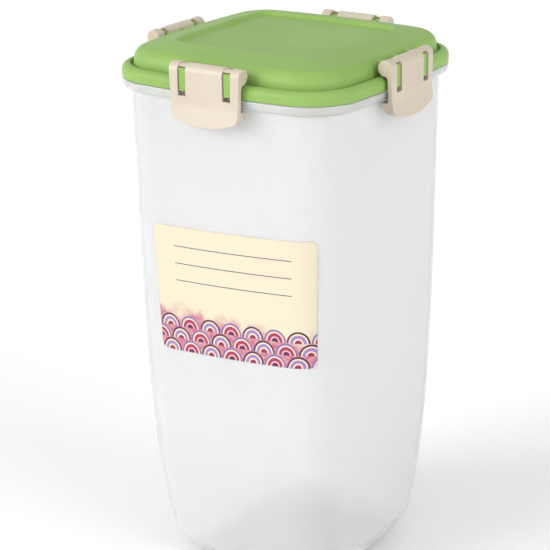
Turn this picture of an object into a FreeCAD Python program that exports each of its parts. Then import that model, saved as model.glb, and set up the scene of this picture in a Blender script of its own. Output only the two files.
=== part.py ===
import FreeCAD
import Part

import math
import os

# A tall square food keeper: a translucent tub with a flange, a snap lid with a sealing ring under it,
# four latches that swing on the lid and hook under the flange, and a label on the front.
# Millimetres. The origin is the middle of the base, +Z is up, and the label faces -Y.

# Outline that the lid and the flange share
lid_half = 65.0             # half the lid's width at the middle of a side
lid_corner = 25.8           # corner radius
side_bow = 435.0            # radius of the gently bowed sides

# Tub
rim_height = 250.5          # base to the lid's lower edge
wall = 1.9
floor_thickness = 2.2
flange_overhang = 4.45      # how far the flange stands out from the wall
flange_depth = 4.9
flange_round = 3.4          # lower edge of the flange
flange_edge = 0.6           # upper edge of the flange
flange_gap = 0.3            # between the flange and the lid's lower edge
neck_edge = 0.5             # rounding of the mouth
base_round = 24.5           # rounding between the wall and the base
foot_corner_extra = 2.0     # corner radius at the foot, beyond the base rounding

wall_draft = 2.0            # even taper of the wall from the flange to the base
wall_tuck = 9.7             # how much further the wall draws in at the base
tuck_power = 5.3            # how late it draws in
wall_sections = 10

# Lid
lid_wall = 1.8
rim_top = 6.2               # height of the lid's rim
rim_round = 3.2
rim_width = 4.0
groove_floor = 4.4
groove_slope = 0.4
platform_inset = 6.2        # from the rim to the raised platform's upper edge
platform_draft = 0.6
platform_height = 13.0
platform_round = 6.2
crown_rise = 3.2            # from the platform's edge to the edge of the recess
recess_inset = 24.7         # from the rim to the edge of the recess
recess_corner = 7.0
recess_depth = 1.8
recess_slope = 1.8
recess_edge = 1.2           # rounding of the recess's upper edge
plug_gap = 0.4              # between the plug and the tub's wall
plug_wall = 1.6
plug_depth = 4.0
small_edge = 0.4
split_share = 0.56          # where the ring of the lid meets its crowned middle, as a share of the corner

# Sealing ring
seal_thickness = 1.7
seal_side_gap = 0.3
seal_edge = 0.5

# Latch
latch_half_width = 19.4
latch_foot_half_width = 18.2
plate_gap = 0.9             # between the lid's rim and the plate
plate_thickness = 2.6
roll_radius = 3.7           # round head that turns about the pin
roll_gap = 0.5              # between the head and the rim's top
roll_blend = 1.5
bend_depth = 4.5            # below the lid's lower edge, where the tab starts to flare
bend_round = 14.0
tab_depth = 14.2
tab_side_depth = 10.4
tab_corner = 3.0
tab_flare = 1.6             # how far the tab's lower edge stands out
tab_edge = 1.7              # thickness of the tab's lower edge
hook_gap = 0.3              # under the flange
hook_wall_gap = 1.65        # between the hook's tip and the tub's wall
hook_height = 2.0
hook_round = 0.5
hook_inner_round = 0.9
latch_edge = 0.5            # rounding of the latch's sides and lower edge
slot_centre = 12.2
slot_width = 4.4
slot_foot = -0.9
pin_radius = 1.3
pin_clearance = 0.05
bridge_start = 40.0         # angles of the bridge over a slot, from straight out
bridge_end = 85.0
bridge_gap = 0.35
bridge_drop = 0.5           # how far the bridge lies below the latch's head

# Lid's lugs and ribs at a latch
lug_side_gap = 0.5
lug_wall = 0.8
lug_setback = 0.6           # behind the plate's face
lug_foot = 1.0
lug_shoulder = 1.2          # top of the lug's front face, above the pin's axis
rib_gap = 0.4               # between a rib and the latch's head
rib_top = 12.4
middle_rib_width = 2.4

# Label, which sits a little askew: x and height above the lid's lower edge of each corner
label_top_left = (-38.7, -68.4)
label_top_right = (50.4, -63.7)
label_foot_right = (49.1, -126.0)
label_foot_left = (-35.4, -131.1)
label_corner = 3.0
label_thickness = 0.25

# Sizes that follow from the others
wall_top_half = lid_half - flange_overhang
wall_top_corner = lid_corner - flange_overhang
foot_corner = base_round + foot_corner_extra
channel_top = groove_floor - lid_wall
neck_top = channel_top - seal_thickness
flange_foot = -flange_gap - flange_depth
platform_half = lid_half - platform_inset
recess_half = lid_half - recess_inset
plug_half = wall_top_half - wall - plug_gap
plug_inner_half = plug_half - plug_wall
skirt_inner_half = lid_half - lid_wall
split_half = lid_half - split_share * lid_corner
crown_height = platform_height + crown_rise
crown_slope = crown_rise / (platform_half - recess_half)
split_height = platform_height + crown_slope * (platform_half - split_half)
plate_inner = lid_half + plate_gap
plate_outer = plate_inner + plate_thickness
axis_out = plate_outer - roll_radius
axis_height = rim_top + roll_gap + roll_radius
lug_thickness = slot_width - 2 * lug_side_gap
lug_head = pin_radius + pin_clearance + lug_wall
UP = FreeCAD.Vector(0, 0, 1)
ALONG = FreeCAD.Vector(1, 0, 0)
CENTRE = FreeCAD.Vector(0, 0, 0)
FAR = 40.0                  # reach of cutting tools beyond the piece they cut


def section_point(half, height):
    """A point on the front side's middle plane: half size outwards, height above the lid's lower edge."""
    return FreeCAD.Vector(0, -half, rim_height + height)


def front_point(x, height):
    """A point on an upright plane outside the front, height above the lid's lower edge."""
    return FreeCAD.Vector(x, -lid_half - FAR, rim_height + height)


def rounded_run(corners, place, closed):
    """Edges through corners (a, b, radius), each corner rounded by its own radius."""
    points = [place(a, b) for a, b, radius in corners]
    count = len(points)
    edges = []
    ends = []
    for index, point in enumerate(points):
        radius = corners[index][2]
        is_end = not closed and index in (0, count - 1)
        if radius == 0 or is_end:
            ends.append((point, point))
            continue
        before = (points[index - 1] - point).normalize()
        after = (points[(index + 1) % count] - point).normalize()
        half_angle = before.getAngle(after) / 2
        reach = radius / math.tan(half_angle)
        middle = point + (before + after).normalize() * (radius / math.sin(half_angle) - radius)
        ends.append((point + before * reach, point + after * reach))
        edges.append(Part.Arc(ends[-1][0], middle, ends[-1][1]).toShape())
    for index in range(count if closed else count - 1):
        edges.append(Part.LineSegment(ends[index][1], ends[(index + 1) % count][0]).toShape())
    return edges


def rounded_face(corners, place):
    """A flat face bounded by rounded corners."""
    edges = rounded_run(corners, place, True)
    return Part.Face(Part.Wire(Part.__sortEdges__(edges)))


def corner_centre(half, corner):
    """Distance from the middle lines to the centre of a corner whose arcs are tangent to the bowed sides."""
    offset = side_bow - half
    return (math.sqrt(2 * (side_bow - corner) ** 2 - offset ** 2) - offset) / 2


def side_angle(half, corner):
    """Degrees from the middle of a bowed side to where its corner starts."""
    centre = corner_centre(half, corner)
    return math.degrees(math.atan2(centre, side_bow - half + centre))


def outline(half, corner, height):
    """The bowed square with round corners, as a wire at a height above the base."""
    centre = corner_centre(half, corner)
    turn = math.radians(side_angle(half, corner))
    tangent = FreeCAD.Vector(centre + corner * math.sin(turn), -centre - corner * math.cos(turn), height)
    mirrored = FreeCAD.Vector(-tangent.x, tangent.y, height)
    diagonal = centre + corner * math.sqrt(0.5)
    side = Part.Arc(mirrored, FreeCAD.Vector(0, -half, height), tangent).toShape()
    next_start = FreeCAD.Vector(-tangent.y, -tangent.x, height)
    bend = Part.Arc(tangent, FreeCAD.Vector(diagonal, -diagonal, height), next_start).toShape()
    edges = [edge.rotated(CENTRE, UP, 90 * quarter) for quarter in range(4) for edge in (side, bend)]
    return Part.Wire(edges)


def fused(shapes):
    """One solid from touching or overlapping shapes."""
    return shapes[0].multiFuse(shapes[1:]).removeSplitter().Solids[0]


def carried(corners):
    """A section of (half size, height, radius) corners carried once round the lid's outline."""
    section = rounded_face(corners, section_point)
    turn = side_angle(lid_half, lid_corner)
    centre = corner_centre(lid_half, lid_corner)
    bow_centre = FreeCAD.Vector(0, side_bow - lid_half, 0)
    bend_centre = FreeCAD.Vector(centre, -centre, 0)
    side = section.rotated(bow_centre, UP, -turn).revolve(bow_centre, UP, 2 * turn)
    bend = section.rotated(bow_centre, UP, turn).revolve(bend_centre, UP, 90 - 2 * turn)
    pieces = [piece.rotated(CENTRE, UP, 90 * quarter) for quarter in range(4) for piece in (side, bend)]
    return fused(pieces)


def tub_form(inset, lowest, rounding):
    """The tub's outer form set in by a distance, cut flat at its lowest height and rounded there."""
    top = rim_height + neck_top
    wires = []
    for index in range(wall_sections):
        drop = (top - lowest) * index / (wall_sections - 1)
        depth = drop / top
        half = wall_top_half - wall_draft * depth - wall_tuck * depth ** tuck_power
        corner = wall_top_corner + (foot_corner - wall_top_corner) * depth
        wires.append(outline(half - inset, corner - inset, top - drop))
    form = Part.makeLoft(wires, True, False)
    foot_edges = [edge for edge in form.Edges if edge.BoundBox.ZMax < lowest + 0.01]
    return form.makeFillet(rounding, foot_edges)


def container_body():
    """The tub: a tapering wall with a rounded base and mouth, and the flange below the mouth."""
    flange_root = wall_top_half - wall / 2
    flange = carried((
        (flange_root, flange_foot, 0),
        (lid_half, flange_foot, flange_round),
        (lid_half, -flange_gap, flange_edge),
        (flange_root, -flange_gap, 0),
    ))
    shell = tub_form(0, 0, base_round).cut(tub_form(wall, floor_thickness, base_round - wall))
    mouth_edges = [edge for edge in shell.Edges if edge.BoundBox.ZMin > rim_height + neck_top - small_edge]
    return fused([shell.makeFillet(neck_edge, mouth_edges), flange])


def label():
    """The label: a thin card on the front wall that bends with the wall and round one corner."""
    places = (label_top_left, label_top_right, label_foot_right, label_foot_left)
    card = rounded_face([(x, height, label_corner) for x, height in places], front_point)
    prism = card.extrude(FreeCAD.Vector(0, lid_half + FAR, 0))
    skin = tub_form(-label_thickness, 0, base_round).common(prism)
    return skin.cut(tub_form(0, 0, base_round)).Solids[0]


def latch_at(x, face, thickness):
    """A flat face of the latch's section plane, extruded along the side about x."""
    start = face.translated(ALONG * (x - thickness / 2))
    return start.extrude(ALONG * thickness)


def lug(x):
    """A lug that stands on the rim and holds one pin of a latch."""
    front = axis_out + roll_radius - lug_setback
    back = axis_out - lug_head
    inside = lid_half - lid_wall / 2
    cheek = math.sqrt(0.5) * lug_head
    post = rounded_face((
        (inside, lug_foot, 0),
        (front, lug_foot, small_edge),
        (front, axis_height + lug_shoulder, small_edge),
        (axis_out + cheek, axis_height + cheek, 0),
        (axis_out, axis_height, 0),
        (back, axis_height, 0),
        (back, groove_floor, 0),
        (inside, groove_floor, 0),
    ), section_point)
    axis = section_point(axis_out, axis_height) + ALONG * (x - lug_thickness / 2)
    head = Part.makeCylinder(lug_head, lug_thickness, axis, ALONG)
    bore = Part.makeCylinder(pin_radius + pin_clearance, lug_thickness, axis, ALONG)
    return latch_at(x, post, lug_thickness).fuse(head), bore


def rib(x, thickness):
    """A rib behind a latch, from the platform's wall to just clear of the latch's head."""
    face = rounded_face((
        (platform_half - lid_wall / 2, groove_floor - lid_wall / 2, 0),
        (axis_out - roll_radius - rib_gap, groove_floor - lid_wall / 2, 0),
        (axis_out - roll_radius - rib_gap, rib_top, small_edge),
        (platform_half - platform_round + lid_wall, rib_top, 0),
        (platform_half - lid_wall / 2, platform_height - platform_round, 0),
    ), section_point)
    return latch_at(x, face, thickness)


def lid():
    """The lid: rim, groove, raised platform with a shallow recess, plug, and lugs that hold the latches."""
    split_corner = lid_corner - (lid_half - split_half)
    under_split = split_height - lid_wall
    under_edge = under_split - crown_slope * (plug_inner_half - split_half)
    ring = carried((
        (lid_half, 0, small_edge),
        (lid_half, rim_top, rim_round),
        (lid_half - rim_width, rim_top, small_edge),
        (lid_half - rim_width - groove_slope, groove_floor, small_edge),
        (platform_half + platform_draft, groove_floor, small_edge),
        (platform_half, platform_height, platform_round),
        (split_half, split_height, 0),
        (split_half, under_split, 0),
        (plug_inner_half, under_edge, platform_round - lid_wall),
        (plug_inner_half, -plug_depth, small_edge),
        (plug_half, -plug_depth, small_edge),
        (plug_half, channel_top, small_edge),
        (skirt_inner_half, channel_top, small_edge),
        (skirt_inner_half, 0, small_edge),
    ))
    split_top = outline(split_half, split_corner, rim_height + split_height)
    recess_mouth = outline(recess_half, recess_corner, rim_height + crown_height)
    recess_foot = outline(recess_half - recess_slope, recess_corner - recess_slope,
                          rim_height + crown_height - recess_depth)
    core = Part.Face(split_top).extrude(FreeCAD.Vector(0, 0, -lid_wall))
    crown = Part.makeLoft([split_top, recess_mouth], True, True)
    recess = Part.makeLoft([recess_foot, recess_mouth], True, True)
    top = fused([ring, core, crown]).cut(recess)
    mouth_edges = [edge for edge in top.Edges if edge.BoundBox.ZMin > rim_height + crown_height - small_edge]
    top = top.makeFillet(recess_edge, mouth_edges)
    additions = []
    bores = []
    for quarter in range(4):
        for x in (-slot_centre, slot_centre):
            post, bore = lug(x)
            additions.append(post.rotated(CENTRE, UP, 90 * quarter))
            additions.append(rib(x, lug_thickness).rotated(CENTRE, UP, 90 * quarter))
            bores.append(bore.rotated(CENTRE, UP, 90 * quarter))
        additions.append(rib(0, middle_rib_width).rotated(CENTRE, UP, 90 * quarter))
    return top.multiFuse(additions).removeSplitter().cut(bores).Solids[0]


def lid_seal():
    """The soft ring in the lid's channel that sits on the tub's neck."""
    inner = plug_half + seal_side_gap
    outer = skirt_inner_half - seal_side_gap
    return carried((
        (inner, neck_top, seal_edge),
        (outer, neck_top, seal_edge),
        (outer, channel_top, seal_edge),
        (inner, channel_top, seal_edge),
    ))


def latch_section():
    """The latch's side view: a round head about the pin, a flat plate, a flared tab and a hook."""
    hook_top = flange_foot - hook_gap
    tip = wall_top_half + hook_wall_gap
    blend_out = plate_inner - roll_blend - axis_out
    blend_down = math.sqrt((roll_radius + roll_blend) ** 2 - blend_out ** 2)
    share = roll_radius / (roll_radius + roll_blend)
    head_foot = section_point(axis_out + share * blend_out, axis_height - share * blend_down)
    blend_start = section_point(plate_inner, axis_height - blend_down)
    blend_middle = section_point(plate_inner - roll_blend * (1 - math.sqrt(0.5)),
                                 axis_height - blend_down + roll_blend * math.sqrt(0.5))
    head_back = section_point(axis_out - roll_radius, axis_height)
    head_front = section_point(plate_outer, axis_height)
    tip_foot = hook_top - hook_height
    flare_slope = tab_flare / (tab_depth - bend_depth)
    under_slope = (plate_outer + tab_flare - tab_edge - tip) / (tab_depth + tip_foot)
    apex_drop = tab_edge / (under_slope - flare_slope)
    edges = rounded_run((
        (plate_outer, axis_height, 0),
        (plate_outer, -bend_depth, bend_round),
        (plate_outer + tab_flare + flare_slope * apex_drop, -tab_depth - apex_drop, 0),
        (tip, tip_foot, hook_round),
        (tip, hook_top, hook_round),
        (plate_inner, hook_top, hook_inner_round),
        (plate_inner, axis_height - blend_down, 0),
    ), section_point, False)
    edges.append(Part.Arc(blend_start, blend_middle, head_foot).toShape())
    edges.append(Part.Arc(head_foot, head_back, head_front).toShape())
    return Part.Face(Part.Wire(Part.__sortEdges__(edges)))


def latch_front_prism():
    """The latch's front view, carried through its depth: straight sides and a bowed lower edge."""
    above = axis_height + roll_radius + roll_gap
    right_top = front_point(latch_half_width, above)
    right_foot = front_point(latch_foot_half_width, -tab_side_depth)
    left_top = front_point(-latch_half_width, above)
    left_foot = front_point(-latch_foot_half_width, -tab_side_depth)
    edges = [
        Part.LineSegment(left_top, right_top).toShape(),
        Part.LineSegment(right_top, right_foot).toShape(),
        Part.Arc(right_foot, front_point(0, -tab_depth), left_foot).toShape(),
        Part.LineSegment(left_foot, left_top).toShape(),
    ]
    prism = Part.Face(Part.Wire(edges)).extrude(FreeCAD.Vector(0, 2 * FAR, 0))
    corners = [edge for edge in prism.Edges
               if edge.BoundBox.YLength > FAR and abs(edge.BoundBox.ZMax - right_foot.z) < small_edge / 4]
    return prism.makeFillet(tab_corner, corners)


def slot_cutter(x):
    """What a slot takes out of a latch: room for a lug over the whole swing, but not the bridge above it."""
    axis = section_point(axis_out, axis_height)
    inner = lug_head + bridge_gap
    low = FreeCAD.Vector(x - slot_width / 2, -lid_half - FAR, rim_height + slot_foot)
    block = Part.makeBox(slot_width, 2 * FAR, axis_height + 2 * roll_radius - slot_foot, low)
    start = axis + ALONG * (x - slot_width / 2)
    rays = [(axis_out, axis_height, 0)]
    for angle in (bridge_start, bridge_end):
        turn = math.radians(angle)
        rays.append((axis_out + FAR * math.cos(turn), axis_height + FAR * math.sin(turn), 0))
    sector = latch_at(x, rounded_face(rays, section_point), slot_width)
    bridge = sector.common(Part.makeCylinder(roll_radius - bridge_drop, slot_width, start, ALONG))
    return block.cut(bridge.cut(Part.makeCylinder(inner, slot_width, start, ALONG)))


def latch():
    """One latch on the front: the plate with its head and hook, slotted for the lugs, and its pins."""
    blank = latch_at(0, latch_section(), 4 * latch_half_width).common(latch_front_prism()).Solids[0]
    side_edges = [edge for edge in blank.Edges if edge.BoundBox.XLength < latch_half_width]
    body = blank.makeFillet(latch_edge, side_edges)
    pin_length = slot_width + 2 * small_edge
    pins = []
    for x in (-slot_centre, slot_centre):
        body = body.cut(slot_cutter(x))
        start = section_point(axis_out, axis_height) + ALONG * (x - pin_length / 2)
        pins.append(Part.makeCylinder(pin_radius, pin_length, start, ALONG))
    return body.multiFuse(pins).removeSplitter().Solids[0]


os.makedirs("parts", exist_ok=True)
pieces = {"container_body": container_body(), "label": label(), "lid": lid(), "lid_seal": lid_seal()}
front_latch = latch()
for quarter, side in enumerate(("front", "right", "back", "left")):
    pieces["latch_" + side] = front_latch.rotated(CENTRE, UP, 90 * quarter)
for name, shape in pieces.items():
    shape.exportStep("parts/" + name + ".step")
    box = shape.BoundBox
    print(name, shape.ShapeType, shape.isValid(), "volume", round(shape.Volume),
          "x", round(box.XMin, 2), round(box.XMax, 2), "y", round(box.YMin, 2), round(box.YMax, 2),
          "z", round(box.ZMin, 2), round(box.ZMax, 2))
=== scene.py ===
"""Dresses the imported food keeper: frosted tub, green snap lid, cream latches, seal and printed label."""

import math

import bpy
import numpy as np
from mathutils import Matrix, Vector


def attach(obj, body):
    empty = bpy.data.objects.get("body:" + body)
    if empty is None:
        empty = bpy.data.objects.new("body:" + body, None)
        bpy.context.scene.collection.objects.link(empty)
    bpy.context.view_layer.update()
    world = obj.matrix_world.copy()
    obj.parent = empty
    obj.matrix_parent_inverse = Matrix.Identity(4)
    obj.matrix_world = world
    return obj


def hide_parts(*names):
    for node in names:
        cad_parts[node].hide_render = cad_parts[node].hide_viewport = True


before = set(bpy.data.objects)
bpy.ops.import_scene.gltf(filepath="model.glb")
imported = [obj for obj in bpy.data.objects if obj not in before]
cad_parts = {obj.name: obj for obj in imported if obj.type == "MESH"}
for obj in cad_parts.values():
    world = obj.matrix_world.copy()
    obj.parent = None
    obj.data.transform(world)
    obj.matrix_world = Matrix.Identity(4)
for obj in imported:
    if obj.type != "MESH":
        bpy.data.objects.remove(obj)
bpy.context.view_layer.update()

bl_info = {
    "name": "Square food keeper",
    "version": (1, 0, 0),
    "blender": (4, 5, 0),
    "location": "View3D > Sidebar > Food keeper",
    "description": "Finishes of a tall food keeper with a latched lid, its printed label and a pale studio",
    "category": "Object",
}

MM = 0.001
WHITE = "ffffff"
LATCH_NODES = ("latch_front", "latch_right", "latch_back", "latch_left")

# The tub's outer wall as the solids have it: lengths in mm, and the power of the tuck towards the foot
MOUTH_HEIGHT = 251.4
MOUTH_HALF = 60.55
MOUTH_CORNER = 21.35
FOOT_CORNER = 26.5
WALL_DRAFT = 2.0
WALL_TUCK = 9.7
TUCK_POWER = 5.3
SIDE_BOW = 435.0

# Heights between which the wall's clearness turns into the flange's, in mm
WALL_TOP = 241.0
FLANGE_FOOT = 245.0

# Moulded skins: noise values of the deep and the pale colour, and the depths of the bumps in mm
TINT_ENDS = (0.3, 0.7)
RIPPLE_DEPTH = 0.4
GRAIN_DEPTH = 0.03

# Refractive indices
POLYPROPYLENE_INDEX = 1.49
SILICONE_INDEX = 1.41
FILM_INDEX = 1.5

# The label's corners on the front wall, from the top left one clockwise: places across and heights, in mm
LABEL_CORNERS = ((-38.7, 182.1), (50.4, 186.8), (49.1, 124.5), (-35.4, 119.4))

# The label's mesh: points across and up, the gap behind it in mm, and the name of its UV map
LABEL_COLUMNS = 121
LABEL_ROWS = 65
LABEL_SEAT = 0.03
LABEL_MAP = "sheet"

# The label's fans: lengths in mm, and the disc and the starts of its rings as shares of half a fan's width
FAN_WIDTH = 12.5
FAN_RISE = 6.25
FAN_ROWS = 3
FAN_DISC = 0.96
RING_STARTS = (0.0, 0.3, 0.42, 0.68, 0.8)

# The label's wash, in mm: where it ends and where it is full, its slope, and the clouds that lift it
WASH_END = 13.0
WASH_FULL = 4.0
WASH_SLOPE = 0.09
CLOUD_SIZE = 11.0
CLOUD_LIFT = 26.0

# Speckles in the wash: their size in mm, the noise values that they span, and the weakest one's strength
GRIT_SIZE = 2.2
GRIT_ENDS = (0.3, 0.7)
GRIT_WEAKEST = 0.55

# The label's ruled lines, in mm from the sheet's lower left corner
FIRST_LINE = 36.0
LINE_COUNT = 3
LINE_PITCH = 8.5
LINE_WIDTH = 0.44
LINES_MIDDLE = 45.0
LINES_HALF_WIDTH = 33.0

# The label's varnish: grain size and depth in mm, strength of the bump, and roughness of its spots
VARNISH_GRAIN = 0.7
VARNISH_DEPTH = 0.02
VARNISH_STRENGTH = 0.15
VARNISH_GLOSSIEST = 0.38
VARNISH_DULLEST = 0.5

# Sockets of a Mix node that mixes colours
MIX_SHARE = 0
MIX_FIRST = 6
MIX_SECOND = 7
MIX_RESULT = 2

# The studio: dullness of the paper floor, degrees that a light spans, and the directions towards the lights
PAPER_ROUGHNESS = 0.9
LIGHT_SPREAD = 40.0
LEFT_LIGHT = (-0.56, -0.83, 0.36)
RIGHT_LIGHT = (0.93, -0.10, 0.36)

# The photograph's camera: degrees round, up and of roll, its place in metres and its sensor in mm
CAMERA_ANGLES = (33.70, 19.74, -0.835)
CAMERA_PLACE = (0.47496, -0.72521, 0.45624)
SENSOR_WIDTH = 36.0


def linear(hex_colour):
    """The linear colour of an sRGB hex value such as "9bbc75"."""
    srgb = np.array([int(hex_colour[place:place + 2], 16) for place in (0, 2, 4)]) / 255
    light = np.where(srgb <= 0.04045, srgb / 12.92, ((srgb + 0.055) / 1.055) ** 2.4)
    return (*light.tolist(), 1.0)


def add(tree, kind, inputs=None, stops=(), **settings):
    """Adds a node with settings, colour stops and inputs. A (node, output) pair makes a link."""
    made = tree.nodes.new(kind)
    for name, value in settings.items():
        setattr(made, name, value)
    # A new colour ramp has two stops already
    for _ in stops[2:]:
        made.color_ramp.elements.new(1.0)
    for number, (position, colour) in enumerate(stops):
        made.color_ramp.elements[number].position = position
        made.color_ramp.elements[number].color = colour
    for name, value in (inputs or {}).items():
        if isinstance(value, tuple) and len(value) == 2:
            tree.links.new(value[0].outputs[value[1]], made.inputs[name])
        else:
            made.inputs[name].default_value = value
    return made


def fresh_material(name):
    """A new node material and its empty tree."""
    made = bpy.data.materials.new(name)
    made.use_nodes = True
    made.node_tree.nodes.clear()
    return made, made.node_tree


def give(item, material):
    """Puts one material on all of a piece."""
    item.data.materials.clear()
    item.data.materials.append(material)


# The label's shape


def wall_depth(x, height):
    """How far out the front wall lies at a place across it and a height, in mm, with its outward direction.

    Each level of the wall is a bowed square. Half its size and its corner radius follow the way down.
    The side is an arc of the bow radius. Where it ends, the corner goes on as an arc tangent to it.
    """
    down = (MOUTH_HEIGHT - height) / MOUTH_HEIGHT
    half = MOUTH_HALF - WALL_DRAFT * down - WALL_TUCK * down ** TUCK_POWER
    corner = MOUTH_CORNER + (FOOT_CORNER - MOUTH_CORNER) * down
    offset = SIDE_BOW - half
    middle = (np.sqrt(2 * (SIDE_BOW - corner) ** 2 - offset ** 2) - offset) / 2
    reach = SIDE_BOW * np.sin(np.arctan2(middle, offset + middle))
    on_side = np.abs(x) <= reach
    beyond = np.abs(x) - middle
    side_sine = x / SIDE_BOW
    corner_sine = np.sign(x) * np.clip(beyond / corner, -1, 1)
    sine = np.where(on_side, side_sine, corner_sine)
    cosine = np.sqrt(1 - sine ** 2)
    out = np.where(on_side, SIDE_BOW * cosine - offset, middle + corner * cosine)
    return out, sine, cosine


def label_sheet(corners, rounding, proud, columns, rows):
    """Points of the label on the wall and their places on the flat sheet, as grids of rows by columns.

    A place on the sheet is blended between the four corners. Near the top and the foot each row is
    shortened by what a quarter circle of the rounding takes off. The wall's depth then bends the row
    round the tub.
    """
    top_left, top_right, foot_right, foot_left = (np.array(corner) for corner in corners)
    height = np.linalg.norm(top_left - foot_left)
    width = np.linalg.norm(top_right - top_left)
    up = (1 - np.cos(np.linspace(0, np.pi, rows))) / 2
    edge = np.minimum(up, 1 - up) * height
    short = rounding - np.sqrt(rounding ** 2 - np.clip(rounding - edge, 0, rounding) ** 2)
    across = np.linspace(0, 1, columns)
    share = short[:, None] / width + (1 - 2 * short[:, None] / width) * across
    left = foot_left + (top_left - foot_left) * up[:, None]
    right = foot_right + (top_right - foot_right) * up[:, None]
    flat = left[:, None] + (right - left)[:, None] * share[..., None]
    out, sine, cosine = wall_depth(flat[..., 0], flat[..., 1])
    points = np.stack([flat[..., 0] + proud * sine, -out - proud * cosine, flat[..., 1]], -1)
    step = np.hypot(np.diff(points[..., 0]), np.diff(points[..., 1]))
    run = np.concatenate([np.zeros((rows, 1)), np.cumsum(step, 1)], 1)
    along = (short[:, None] + run) / (2 * short[:, None] + run[:, -1:])
    sheet = np.stack([along, np.broadcast_to(up[:, None], along.shape)], -1)
    return points, sheet


def grid_piece(name, points, sheet):
    """A smooth mesh object from a grid of points in mm, with a UV map of their places on the sheet."""
    rows, columns = points.shape[:2]
    number = np.arange(rows * columns).reshape(rows, columns)
    corners = [number[:-1, :-1], number[:-1, 1:], number[1:, 1:], number[1:, :-1]]
    faces = np.stack(corners, -1).reshape(-1, 4)
    mesh = bpy.data.meshes.new(name)
    mesh.from_pydata((points.reshape(-1, 3) * MM).tolist(), [], faces.tolist())
    mesh.uv_layers.new(name=LABEL_MAP).data.foreach_set("uv", sheet.reshape(-1, 2)[faces.ravel()].ravel())
    mesh.polygons.foreach_set("use_smooth", np.ones(len(faces), bool))
    item = bpy.data.objects.new(name, mesh)
    bpy.context.scene.collection.objects.link(item)
    return item


# Finishes


def moulded_skin(tree, colours, roughness, spread, grain, ripple, strength):
    """Shader inputs that all the moulded pieces share. Grain and ripple are sizes in mm.

    The tint runs between two close colours with the slow ripple of the melt. The gloss differs by the
    spread with the etched grain, and the bump is that grain on top of the ripple.
    """
    place = add(tree, "ShaderNodeTexCoord")
    slow, fine = (
        add(tree, "ShaderNodeTexNoise", {
            "Vector": (place, "Object"), "Scale": 1 / (size * MM), "Detail": detail,
        })
        for size, detail in ((ripple, 1.0), (grain, 2.0))
    )
    stops = list(zip(TINT_ENDS, map(linear, colours)))
    tint = add(tree, "ShaderNodeValToRGB", {"Fac": (slow, "Fac")}, stops)
    gloss = add(tree, "ShaderNodeMapRange", {
        "Value": (fine, "Fac"), "To Min": roughness - spread, "To Max": roughness + spread,
    })
    wave = add(tree, "ShaderNodeBump", {
        "Height": (slow, "Fac"), "Strength": strength, "Distance": RIPPLE_DEPTH * MM,
    })
    skin = add(tree, "ShaderNodeBump", {
        "Height": (fine, "Fac"), "Strength": strength, "Distance": GRAIN_DEPTH * MM,
        "Normal": (wave, "Normal"),
    })
    return {"Base Color": (tint, "Color"), "Roughness": (gloss, "Result"), "Normal": (skin, "Normal")}


def tub_plastic(settings):
    """Natural polypropylene, injection moulded: milky, lets soft light through, gentle gloss."""
    material, tree = fresh_material("natural_polypropylene_frosted")
    colours = ("fcfdfd", "fefefe")
    skin = moulded_skin(
        tree, colours, settings.roughness, spread=0.02, grain=0.6, ripple=45.0, strength=0.04)
    # The thick flange is milkier than the wall below it
    place = add(tree, "ShaderNodeTexCoord")
    height = add(tree, "ShaderNodeSeparateXYZ", {"Vector": (place, "Object")})
    clear = add(tree, "ShaderNodeMapRange", {
        "Value": (height, "Z"), "From Min": WALL_TOP * MM, "From Max": FLANGE_FOOT * MM,
        "To Min": settings.clearness, "To Max": settings.flange_clearness,
    })
    shader = add(tree, "ShaderNodeBsdfPrincipled", {
        **skin, "IOR": POLYPROPYLENE_INDEX, "Transmission Weight": (clear, "Result"),
    })
    add(tree, "ShaderNodeOutputMaterial", {"Surface": (shader, "BSDF")})
    return material


def lid_plastic(settings):
    """Green polypropylene, injection moulded in a satin mould: even colour, soft gloss."""
    material, tree = fresh_material("green_polypropylene_satin")
    colours = (settings.deep_colour, settings.pale_colour)
    skin = moulded_skin(
        tree, colours, settings.roughness, spread=0.05, grain=0.5, ripple=30.0, strength=0.3)
    shader = add(tree, "ShaderNodeBsdfPrincipled", {
        **skin, "IOR": POLYPROPYLENE_INDEX, "Specular IOR Level": 0.2,
    })
    add(tree, "ShaderNodeOutputMaterial", {"Surface": (shader, "BSDF")})
    return material


def latch_plastic(settings):
    """Cream polypropylene, injection moulded: warm, slightly milky, soft gloss."""
    material, tree = fresh_material("cream_polypropylene_satin")
    colours = (settings.deep_colour, settings.pale_colour)
    skin = moulded_skin(
        tree, colours, settings.roughness, spread=0.05, grain=0.4, ripple=18.0, strength=0.25)
    shader = add(tree, "ShaderNodeBsdfPrincipled", {
        **skin, "IOR": POLYPROPYLENE_INDEX,
        "Subsurface Weight": 0.15, "Subsurface Radius": (0.004, 0.003, 0.002), "Subsurface Scale": 0.5,
    })
    add(tree, "ShaderNodeOutputMaterial", {"Surface": (shader, "BSDF")})
    return material


def seal_silicone():
    """Milky silicone, compression moulded: soft, matt, a little see-through."""
    material, tree = fresh_material("milky_silicone")
    colours = ("e4e4e0", "efefec")
    skin = moulded_skin(
        tree, colours, roughness=0.56, spread=0.06, grain=0.5, ripple=12.0, strength=0.2)
    shader = add(tree, "ShaderNodeBsdfPrincipled", {
        **skin, "IOR": SILICONE_INDEX, "Transmission Weight": 0.3,
    })
    add(tree, "ShaderNodeOutputMaterial", {"Surface": (shader, "BSDF")})
    return material


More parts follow.
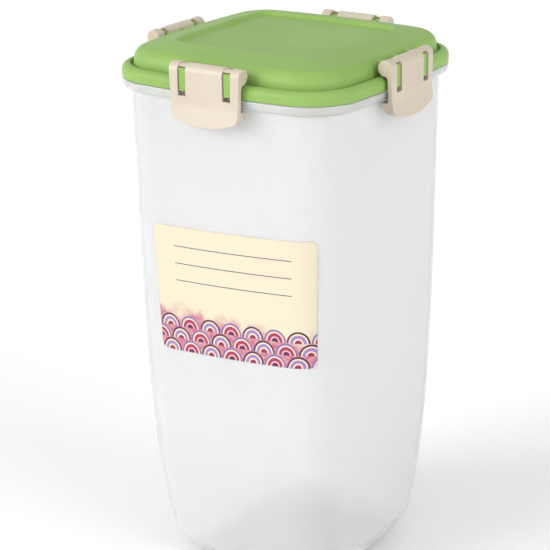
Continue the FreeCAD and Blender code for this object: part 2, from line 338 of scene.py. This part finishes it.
def label_print(settings):
    """Film label, offset printed and varnished: cream ground, rows of fans, a pink wash and ruled lines."""
    material, tree = fresh_material("printed_film_label")

    # Places on the flat sheet in mm from its lower left corner, and noises of three sizes
    place = add(tree, "ShaderNodeUVMap", uv_map=LABEL_MAP)
    sheet_size = (settings.width / MM, settings.height / MM, 0)
    flat = add(tree, "ShaderNodeVectorMath", {0: (place, "UV"), 1: sheet_size}, operation="MULTIPLY")
    split = add(tree, "ShaderNodeSeparateXYZ", {"Vector": (flat, "Vector")})
    found = {"x": (split, "X"), "y": (split, "Y")}
    noises = (
        ("cloud", CLOUD_SIZE, 4.0),
        ("grit", GRIT_SIZE, 3.0),
        ("grain", VARNISH_GRAIN, 2.0),
    )
    for name, size, detail in noises:
        inputs = {"Vector": (flat, "Vector"), "Scale": 1 / size, "Detail": detail}
        found[name] = (add(tree, "ShaderNodeTexNoise", inputs), "Fac")

    # Each sum has a name, an operation and its values: numbers, or names of what was found before
    lines_height = (LINE_COUNT - 1) * LINE_PITCH
    sums = (
        # Rows of fans along the foot: each row is shifted by half a fan, and two kinds of fan take turns
        ("rows_up", "DIVIDE", "y", FAN_RISE),
        ("row", "FLOOR", "rows_up"),
        ("odd_row", "FLOORED_MODULO", "row", 2.0),
        ("fans_along", "DIVIDE", "x", FAN_WIDTH),
        ("fan", "MULTIPLY_ADD", "odd_row", 0.5, "fans_along"),
        ("fan_number", "FLOOR", "fan"),
        ("fan_and_row", "ADD", "fan_number", "row"),
        ("fan_kind", "FLOORED_MODULO", "fan_and_row", 2.0),
        # A fan is a half disc, and its rings go by the distance from the middle of its foot
        ("fan_share", "FRACT", "fan"),
        ("off_middle", "SUBTRACT", "fan_share", 0.5),
        ("aside", "MULTIPLY", "off_middle", FAN_WIDTH),
        ("above", "FLOORED_MODULO", "y", FAN_RISE),
        ("aside_square", "MULTIPLY", "aside", "aside"),
        ("reach_square", "MULTIPLY_ADD", "above", "above", "aside_square"),
        ("reach", "SQRT", "reach_square"),
        ("ring", "DIVIDE", "reach", FAN_WIDTH / 2),
        ("in_disc", "LESS_THAN", "ring", FAN_DISC),
        ("in_rows", "LESS_THAN", "y", FAN_ROWS * FAN_RISE),
        ("in_fan", "MULTIPLY", "in_disc", "in_rows"),
        # The wash ends in clouds, and lower towards the right
        ("cloud_edge", "MULTIPLY_ADD", "cloud", -CLOUD_LIFT, "y"),
        ("wash_edge", "MULTIPLY_ADD", "x", WASH_SLOPE, "cloud_edge"),
        # A line is where the distance to the nearest multiple of the pitch is small
        ("over_first", "SUBTRACT", "y", FIRST_LINE),
        ("off_line", "PINGPONG", "over_first", LINE_PITCH / 2),
        ("on_line", "LESS_THAN", "off_line", LINE_WIDTH / 2),
        ("lines_up", "COMPARE", "over_first", lines_height / 2, (lines_height + LINE_WIDTH) / 2),
        ("lines_along", "COMPARE", "x", LINES_MIDDLE, LINES_HALF_WIDTH),
        ("in_lines", "MULTIPLY", "lines_up", "lines_along"),
        ("ruled", "MULTIPLY", "on_line", "in_lines"),
    )
    for name, operation, *values in sums:
        inputs = {slot: found.get(value, value) for slot, value in enumerate(values)}
        found[name] = (add(tree, "ShaderNodeMath", inputs, operation=operation), "Value")

    # Ground with the wash on it, then the lines, then the fans
    speckle = add(tree, "ShaderNodeMapRange", {
        "Value": found["grit"], "From Min": GRIT_ENDS[0], "From Max": GRIT_ENDS[1], "To Min": GRIT_WEAKEST,
    })
    wash = add(tree, "ShaderNodeMapRange", {
        "Value": found["wash_edge"], "From Min": WASH_END, "From Max": WASH_FULL,
        "To Max": (speckle, "Result"),
    }, interpolation_type="SMOOTHSTEP")
    kinds = []
    for colours in (settings.first_fan, settings.second_fan):
        stops = list(zip(RING_STARTS, map(linear, colours.split())))
        rings = add(tree, "ShaderNodeValToRGB", {"Fac": found["ring"]}, stops)
        rings.color_ramp.interpolation = "CONSTANT"
        kinds.append((rings, "Color"))
    fans = add(tree, "ShaderNodeMix", {
        MIX_SHARE: found["fan_kind"], MIX_FIRST: kinds[0], MIX_SECOND: kinds[1],
    }, data_type="RGBA")
    colour = linear(settings.ground)
    layers = (
        ((wash, "Result"), linear(settings.wash)),
        (found["ruled"], linear(settings.lines)),
        (found["in_fan"], (fans, MIX_RESULT)),
    )
    for share, upper in layers:
        inputs = {MIX_SHARE: share, MIX_FIRST: colour, MIX_SECOND: upper}
        colour = (add(tree, "ShaderNodeMix", inputs, data_type="RGBA"), MIX_RESULT)

    skin = add(tree, "ShaderNodeBump", {
        "Height": found["grain"], "Strength": VARNISH_STRENGTH, "Distance": VARNISH_DEPTH * MM,
    })
    gloss = add(tree, "ShaderNodeMapRange", {
        "Value": found["grain"], "To Min": VARNISH_GLOSSIEST, "To Max": VARNISH_DULLEST,
    })
    shader = add(tree, "ShaderNodeBsdfPrincipled", {
        "Base Color": colour, "Roughness": (gloss, "Result"), "Normal": (skin, "Normal"), "IOR": FILM_INDEX,
    })
    add(tree, "ShaderNodeOutputMaterial", {"Surface": (shader, "BSDF")})
    return material


# Studio


def lay_floor(scene, width):
    """A square of white paper under the tub."""
    half = width / 2
    corners = [(-half, -half, 0), (half, -half, 0), (half, half, 0), (-half, half, 0)]
    mesh = bpy.data.meshes.new("floor")
    mesh.from_pydata(corners, [], [(0, 1, 2, 3)])
    floor = bpy.data.objects.new("floor", mesh)
    scene.collection.objects.link(floor)
    material, tree = fresh_material("white_paper_floor")
    shader = add(tree, "ShaderNodeBsdfPrincipled", {
        "Base Color": linear(WHITE), "Roughness": PAPER_ROUGHNESS,
    })
    add(tree, "ShaderNodeOutputMaterial", {"Surface": (shader, "BSDF")})
    give(floor, material)


def light_up(scene, settings):
    """An even white sky and two wide, soft lights."""
    world = bpy.data.worlds.new("studio")
    scene.world = world
    world.use_nodes = True
    sky = world.node_tree.nodes["Background"]
    sky.inputs["Color"].default_value = linear(WHITE)
    sky.inputs["Strength"].default_value = settings.sky_strength
    lights = (
        ("left_light", LEFT_LIGHT, settings.left_strength),
        ("right_light", RIGHT_LIGHT, settings.right_strength),
    )
    for name, direction, strength in lights:
        lamp = bpy.data.lights.new(name, "SUN")
        lamp.angle = math.radians(LIGHT_SPREAD)
        lamp.energy = strength
        item = bpy.data.objects.new(name, lamp)
        scene.collection.objects.link(item)
        item.rotation_euler = Vector(direction).to_track_quat("Z", "Y").to_euler()
    scene.view_settings.view_transform = "Standard"


def set_camera(scene, lens):
    """The camera of the photograph, turned round the tub, raised and rolled."""
    camera = bpy.data.cameras.new("camera")
    camera.lens = lens
    camera.sensor_width = SENSOR_WIDTH
    eye = bpy.data.objects.new("camera", camera)
    scene.collection.objects.link(eye)
    turn, rise, roll = (math.radians(angle) for angle in CAMERA_ANGLES)
    back = Vector((math.sin(turn) * math.cos(rise), -math.cos(turn) * math.cos(rise), math.sin(rise)))
    right = Vector((math.cos(turn), math.sin(turn), 0))
    up = back.cross(right)
    rolled_right = right * math.cos(roll) + up * math.sin(roll)
    rolled_up = up * math.cos(roll) - right * math.sin(roll)
    pose = Matrix((rolled_right, rolled_up, back)).transposed().to_4x4()
    pose.translation = CAMERA_PLACE
    eye.matrix_world = pose
    scene.camera = eye


# Settings


class TubSettings(bpy.types.PropertyGroup):
    """Finish of the tub."""

    clearness: bpy.props.FloatProperty(
        name="Clearness", description="How much light passes the frosted wall",
        default=0.66, min=0, max=1, subtype="FACTOR")
    flange_clearness: bpy.props.FloatProperty(
        name="Flange clearness", description="How much light passes the thick flange",
        default=0.6, min=0, max=1, subtype="FACTOR")
    roughness: bpy.props.FloatProperty(
        name="Roughness", description="Dullness of the skin",
        default=0.15, min=0, max=1, subtype="FACTOR")


class LidSettings(bpy.types.PropertyGroup):
    """Finish of the lid."""

    deep_colour: bpy.props.StringProperty(
        name="Deep colour", description="Deeper of the two greens as an sRGB hex value", default="87aa58")
    pale_colour: bpy.props.StringProperty(
        name="Pale colour", description="Paler of the two greens as an sRGB hex value", default="8db05f")
    roughness: bpy.props.FloatProperty(
        name="Roughness", description="Dullness of the satin skin",
        default=0.4, min=0, max=1, subtype="FACTOR")


class LatchSettings(bpy.types.PropertyGroup):
    """Finish of the latches."""

    deep_colour: bpy.props.StringProperty(
        name="Deep colour", description="Deeper of the two creams as an sRGB hex value", default="c3b7a6")
    pale_colour: bpy.props.StringProperty(
        name="Pale colour", description="Paler of the two creams as an sRGB hex value", default="c9bdac")
    roughness: bpy.props.FloatProperty(
        name="Roughness", description="Dullness of the satin skin",
        default=0.42, min=0, max=1, subtype="FACTOR")


class LabelSettings(bpy.types.PropertyGroup):
    """Size and colours of the label."""

    width: bpy.props.FloatProperty(
        name="Width", description="Width of the flat sheet", default=90.5 * MM, min=0.01, unit="LENGTH")
    height: bpy.props.FloatProperty(
        name="Height", description="Height of the flat sheet", default=62.5 * MM, min=0.01, unit="LENGTH")
    rounding: bpy.props.FloatProperty(
        name="Rounding", description="Radius of the sheet's corners",
        default=3.0 * MM, min=0, unit="LENGTH")
    proud: bpy.props.FloatProperty(
        name="Proud", description="How far the face stands off the wall",
        default=0.25 * MM, min=0, unit="LENGTH")
    ground: bpy.props.StringProperty(
        name="Ground", description="Colour of the bare sheet as an sRGB hex value", default="d8ceb4")
    wash: bpy.props.StringProperty(
        name="Wash", description="Colour of the cloudy wash as an sRGB hex value", default="b34f78")
    lines: bpy.props.StringProperty(
        name="Lines", description="Colour of the ruled lines as an sRGB hex value", default="6d4368")
    first_fan: bpy.props.StringProperty(
        name="First fan", description="Ring colours of one kind of fan, from the middle out, as hex values",
        default="8c1f42 e6d3b4 937ab0 e6d3b4 521f46")
    second_fan: bpy.props.StringProperty(
        name="Second fan", description="Ring colours of the other kind, from the middle out, as hex values",
        default="521f46 dcaab4 a02a50 e6d3b4 80669f")


class StageSettings(bpy.types.PropertyGroup):
    """Floor, light and camera."""

    floor_width: bpy.props.FloatProperty(
        name="Floor width", description="Width of the pale floor", default=60.0, min=1, unit="LENGTH")
    lens: bpy.props.FloatProperty(
        name="Lens", description="Focal length on the sensor", default=121.79, min=20, unit="CAMERA")
    sky_strength: bpy.props.FloatProperty(
        name="Sky", description="Strength of the even light from all sides", default=0.7, min=0)
    left_strength: bpy.props.FloatProperty(
        name="Left light", description="Strength of the soft light from the left", default=2.1, min=0)
    right_strength: bpy.props.FloatProperty(
        name="Right light", description="Strength of the soft light from the right", default=1.1, min=0)


class KeeperSettings(bpy.types.PropertyGroup):
    """All settings of the food keeper."""

    tub: bpy.props.PointerProperty(type=TubSettings)
    lid: bpy.props.PointerProperty(type=LidSettings)
    latch: bpy.props.PointerProperty(type=LatchSettings)
    label: bpy.props.PointerProperty(type=LabelSettings)
    stage: bpy.props.PointerProperty(type=StageSettings)


# Steps


class KEEPER_OT_tub(bpy.types.Operator):
    """Gives the tub its frosted finish"""

    bl_idname = "keeper.tub"
    bl_label = "Tub"

    def execute(self, context):
        give(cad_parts["container_body"], tub_plastic(context.scene.keeper.tub))
        return {"FINISHED"}


class KEEPER_OT_lid(bpy.types.Operator):
    """Gives the lid and its sealing ring their finishes"""

    bl_idname = "keeper.lid"
    bl_label = "Lid and seal"

    def execute(self, context):
        give(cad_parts["lid"], lid_plastic(context.scene.keeper.lid))
        give(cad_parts["lid_seal"], seal_silicone())
        return {"FINISHED"}


class KEEPER_OT_latches(bpy.types.Operator):
    """Gives the four latches their finish"""

    bl_idname = "keeper.latches"
    bl_label = "Latches"

    def execute(self, context):
        material = latch_plastic(context.scene.keeper.latch)
        for name in LATCH_NODES:
            give(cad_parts[name], material)
        return {"FINISHED"}


class KEEPER_OT_label(bpy.types.Operator):
    """Lays the printed label on the front wall and round its corner"""

    bl_idname = "keeper.label"
    bl_label = "Label"

    def execute(self, context):
        settings = context.scene.keeper.label
        rounding = settings.rounding / MM
        proud = settings.proud / MM
        points, sheet = label_sheet(LABEL_CORNERS, rounding, proud, LABEL_COLUMNS, LABEL_ROWS)
        item = grid_piece("label_sheet", points, sheet)
        thick = item.modifiers.new("film", "SOLIDIFY")
        thick.thickness = settings.proud - LABEL_SEAT * MM
        thick.offset = -1
        give(item, label_print(settings))
        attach(item, "container")
        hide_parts("label")
        return {"FINISHED"}


class KEEPER_OT_stage(bpy.types.Operator):
    """Adds the pale floor, the soft light and the camera"""

    bl_idname = "keeper.stage"
    bl_label = "Stage"

    def execute(self, context):
        settings = context.scene.keeper.stage
        lay_floor(context.scene, settings.floor_width)
        light_up(context.scene, settings)
        set_camera(context.scene, settings.lens)
        return {"FINISHED"}


class KEEPER_PT_panel(bpy.types.Panel):
    """Lists the steps that dress the food keeper"""

    bl_label = "Food keeper"
    bl_idname = "KEEPER_PT_panel"
    bl_space_type = "VIEW_3D"
    bl_region_type = "UI"
    bl_category = "Food keeper"

    def draw(self, context):
        for step in STEPS:
            self.layout.operator(step.bl_idname)


STEPS = (KEEPER_OT_tub, KEEPER_OT_lid, KEEPER_OT_latches, KEEPER_OT_label, KEEPER_OT_stage)
GROUPS = (TubSettings, LidSettings, LatchSettings, LabelSettings, StageSettings, KeeperSettings)
CLASSES = (*GROUPS, *STEPS, KEEPER_PT_panel)


def register():
    """Adds the classes and the settings to Blender."""
    for item in CLASSES:
        bpy.utils.register_class(item)
    bpy.types.Scene.keeper = bpy.props.PointerProperty(type=KeeperSettings)


def unregister():
    """Takes the settings and the classes out of Blender."""
    del bpy.types.Scene.keeper
    for item in reversed(CLASSES):
        bpy.utils.unregister_class(item)


def main():
    """Runs all the steps."""
    register()
    bpy.ops.keeper.tub()
    bpy.ops.keeper.lid()
    bpy.ops.keeper.latches()
    bpy.ops.keeper.label()
    bpy.ops.keeper.stage()


if __name__ == "__main__":
    main()
